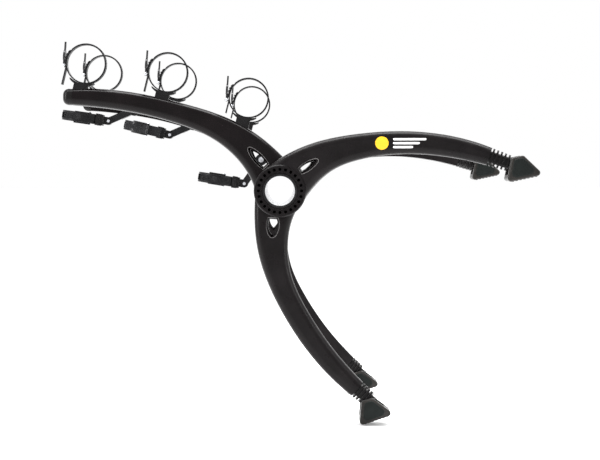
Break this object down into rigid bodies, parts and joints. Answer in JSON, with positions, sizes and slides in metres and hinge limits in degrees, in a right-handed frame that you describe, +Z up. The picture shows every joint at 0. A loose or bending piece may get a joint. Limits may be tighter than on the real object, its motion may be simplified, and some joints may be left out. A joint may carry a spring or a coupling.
{
  "type": "bike rack",
  "caption": "Trunk-mounted bike rack: curved arms with strap loops and curved legs with rubber shoes, all turning on a hollow axle hub.",
  "frame": {"origin": "middle of the hollow axle, on its axis", "axes": "+Y along the axle towards the car's left, +X towards the car, +Z up"},
  "size_m": [0.9255, 0.6362, 0.7185],
  "materials": {
    "bright_tube": "polished",
    "bright_ring": "polished",
    "collar": "moulded",
    "washer": "smooth",
    "arm_plastic": "satin gloss",
    "leg_plastic": "satin, fine texture",
    "cap_rubber": "smooth rubber",
    "rib_rubber": "matt rubber",
    "shoe_rubber": "matt rubber",
    "strap": "matt rubber ladder strap",
    "saddle_plastic": "matt rubber",
    "buckle_plastic": "satin",
    "lever_plastic": "satin",
    "bracket_plastic": "satin",
    "zinc_steel": "zinc plated"
  },
  "bodies": {
    "axle": {"axle_tube": "bright_tube", "axle_end_rings": "bright_ring", "axle_collars": "collar", "hub_washers": "washer"},
    "right_arm_body": {"right_arm": "arm_plastic", "right_arm_cap": "cap_rubber", "right_saddles": "saddle_plastic", "right_saddle_screws": "zinc_steel", "right_strap_loops": "strap", "right_buckles": "buckle_plastic", "right_lever_pins": "zinc_steel"},
    "right_upper_leg_body": {"right_upper_leg": "leg_plastic", "right_upper_neck": "rib_rubber"},
    "right_upper_shoe_body": {"right_upper_shoe": "shoe_rubber", "right_upper_pin": "zinc_steel"},
    "right_lower_leg_body": {"right_lower_leg": "leg_plastic", "right_lower_neck": "rib_rubber"},
    "right_lower_shoe_body": {"right_lower_shoe": "shoe_rubber", "right_lower_pin": "zinc_steel"},
    "right_lever_1_body": {"right_lever_1": "lever_plastic"},
    "right_lever_2_body": {"right_lever_2": "lever_plastic"},
    "right_lever_3_body": {"right_lever_3": "lever_plastic"},
    "left_arm_body": {"left_arm": "arm_plastic", "left_arm_cap": "cap_rubber", "left_saddles": "saddle_plastic", "left_saddle_screws": "zinc_steel", "left_strap_loops": "strap", "left_buckles": "buckle_plastic", "left_lever_pins": "zinc_steel", "sway_strut_bolts": "zinc_steel", "sway_bracket_1": "bracket_plastic", "sway_bracket_2": "bracket_plastic", "sway_bracket_3": "bracket_plastic"},
    "left_upper_leg_body": {"left_upper_leg": "leg_plastic", "left_upper_neck": "rib_rubber"},
    "left_upper_shoe_body": {"left_upper_shoe": "shoe_rubber", "left_upper_pin": "zinc_steel"},
    "left_lower_leg_body": {"left_lower_leg": "leg_plastic", "left_lower_neck": "rib_rubber"},
    "left_lower_shoe_body": {"left_lower_shoe": "shoe_rubber", "left_lower_pin": "zinc_steel"},
    "left_lever_1_body": {"left_lever_1": "lever_plastic"},
    "left_lever_2_body": {"left_lever_2": "lever_plastic"},
    "left_lever_3_body": {"left_lever_3": "lever_plastic"},
    "sway_1_body": {"sway_saddle_1": "saddle_plastic", "sway_strap_1": "strap", "sway_buckle_1": "buckle_plastic", "sway_pins_1": "zinc_steel"},
    "sway_lever_1_body": {"sway_lever_1": "lever_plastic"},
    "sway_2_body": {"sway_saddle_2": "saddle_plastic", "sway_strap_2": "strap", "sway_buckle_2": "buckle_plastic", "sway_pins_2": "zinc_steel"},
    "sway_lever_2_body": {"sway_lever_2": "lever_plastic"},
    "sway_3_body": {"sway_saddle_3": "saddle_plastic", "sway_strap_3": "strap", "sway_buckle_3": "buckle_plastic", "sway_pins_3": "zinc_steel"},
    "sway_lever_3_body": {"sway_lever_3": "lever_plastic"}
  },
  "joints": [
    {"name": "right_arm_fold", "type": "hinge", "parent": "axle", "child": "right_arm_body", "pos_m": [0, -0.16, 0], "axis": [0, 1, 0], "range_deg": [-60, 30]},
    {"name": "right_upper_leg_fold", "type": "hinge", "parent": "axle", "child": "right_upper_leg_body", "pos_m": [0, -0.2406, 0], "axis": [0, 1, 0], "range_deg": [-25, 60]},
    {"name": "right_upper_shoe_swivel", "type": "hinge", "parent": "right_upper_leg_body", "child": "right_upper_shoe_body", "pos_m": [0.43265, -0.2901, 0.04627], "axis": [0, 1, 0], "range_deg": [-20, 20]},
    {"name": "right_lower_leg_fold", "type": "hinge", "parent": "axle", "child": "right_lower_leg_body", "pos_m": [0, -0.1998, 0], "axis": [0, 1, 0], "range_deg": [-75, 15]},
    {"name": "right_lower_shoe_swivel", "type": "hinge", "parent": "right_lower_leg_body", "child": "right_lower_shoe_body", "pos_m": [0.17464, -0.21728, -0.39912], "axis": [0, 1, 0], "range_deg": [-20, 20]},
    {"name": "right_lever_1_open", "type": "hinge", "parent": "right_arm_body", "child": "right_lever_1_body", "pos_m": [-0.4097, -0.16, 0.23676], "axis": [0, -1, 0], "range_deg": [0, 80]},
    {"name": "right_lever_2_open", "type": "hinge", "parent": "right_arm_body", "child": "right_lever_2_body", "pos_m": [-0.2548, -0.16, 0.22056], "axis": [0, -1, 0], "range_deg": [0, 80]},
    {"name": "right_lever_3_open", "type": "hinge", "parent": "right_arm_body", "child": "right_lever_3_body", "pos_m": [-0.1018, -0.16, 0.17226], "axis": [0, -1, 0], "range_deg": [0, 80]},
    {"name": "left_arm_fold", "type": "hinge", "parent": "axle", "child": "left_arm_body", "pos_m": [0, 0.16, 0], "axis": [0, 1, 0], "range_deg": [-60, 30]},
    {"name": "left_upper_leg_fold", "type": "hinge", "parent": "axle", "child": "left_upper_leg_body", "pos_m": [0, 0.2406, 0], "axis": [0, 1, 0], "range_deg": [-25, 60]},
    {"name": "left_upper_shoe_swivel", "type": "hinge", "parent": "left_upper_leg_body", "child": "left_upper_shoe_body", "pos_m": [0.43265, 0.2901, 0.04627], "axis": [0, 1, 0], "range_deg": [-20, 20]},
    {"name": "left_lower_leg_fold", "type": "hinge", "parent": "axle", "child": "left_lower_leg_body", "pos_m": [0, 0.1998, 0], "axis": [0, 1, 0], "range_deg": [-75, 15]},
    {"name": "left_lower_shoe_swivel", "type": "hinge", "parent": "left_lower_leg_body", "child": "left_lower_shoe_body", "pos_m": [0.17464, 0.21728, -0.39912], "axis": [0, 1, 0], "range_deg": [-20, 20]},
    {"name": "left_lever_1_open", "type": "hinge", "parent": "left_arm_body", "child": "left_lever_1_body", "pos_m": [-0.4097, 0.16, 0.23676], "axis": [0, -1, 0], "range_deg": [0, 80]},
    {"name": "left_lever_2_open", "type": "hinge", "parent": "left_arm_body", "child": "left_lever_2_body", "pos_m": [-0.2548, 0.16, 0.22056], "axis": [0, -1, 0], "range_deg": [0, 80]},
    {"name": "left_lever_3_open", "type": "hinge", "parent": "left_arm_body", "child": "left_lever_3_body", "pos_m": [-0.1018, 0.16, 0.17226], "axis": [0, -1, 0], "range_deg": [0, 80]},
    {"name": "sway_1_swing", "type": "hinge", "parent": "left_arm_body", "child": "sway_1_body", "pos_m": [-0.356, 0.134, 0.14], "axis": [0, -1, 0], "range_deg": [0, 60]},
    {"name": "sway_lever_1_open", "type": "hinge", "parent": "sway_1_body", "child": "sway_lever_1_body", "pos_m": [-0.40052, 0.17414, 0.14626], "axis": [-0.1392, 0, -0.9903], "range_deg": [0, 80]},
    {"name": "sway_2_swing", "type": "hinge", "parent": "left_arm_body", "child": "sway_2_body", "pos_m": [-0.2295, 0.134, 0.1115], "axis": [0, -1, 0], "range_deg": [0, 60]},
    {"name": "sway_lever_2_open", "type": "hinge", "parent": "sway_2_body", "child": "sway_lever_2_body", "pos_m": [-0.27331, 0.09387, 0.12161], "axis": [0.225, 0, 0.9744], "range_deg": [0, 80]},
    {"name": "sway_3_swing", "type": "hinge", "parent": "left_arm_body", "child": "sway_3_body", "pos_m": [-0.075, 0.134, 0.0104], "axis": [0, -1, 0], "range_deg": [0, 60]},
    {"name": "sway_lever_3_open", "type": "hinge", "parent": "sway_3_body", "child": "sway_lever_3_body", "pos_m": [-0.11941, 0.17414, 0.01743], "axis": [-0.1564, 0, -0.9877], "range_deg": [0, 80]}
  ]
}
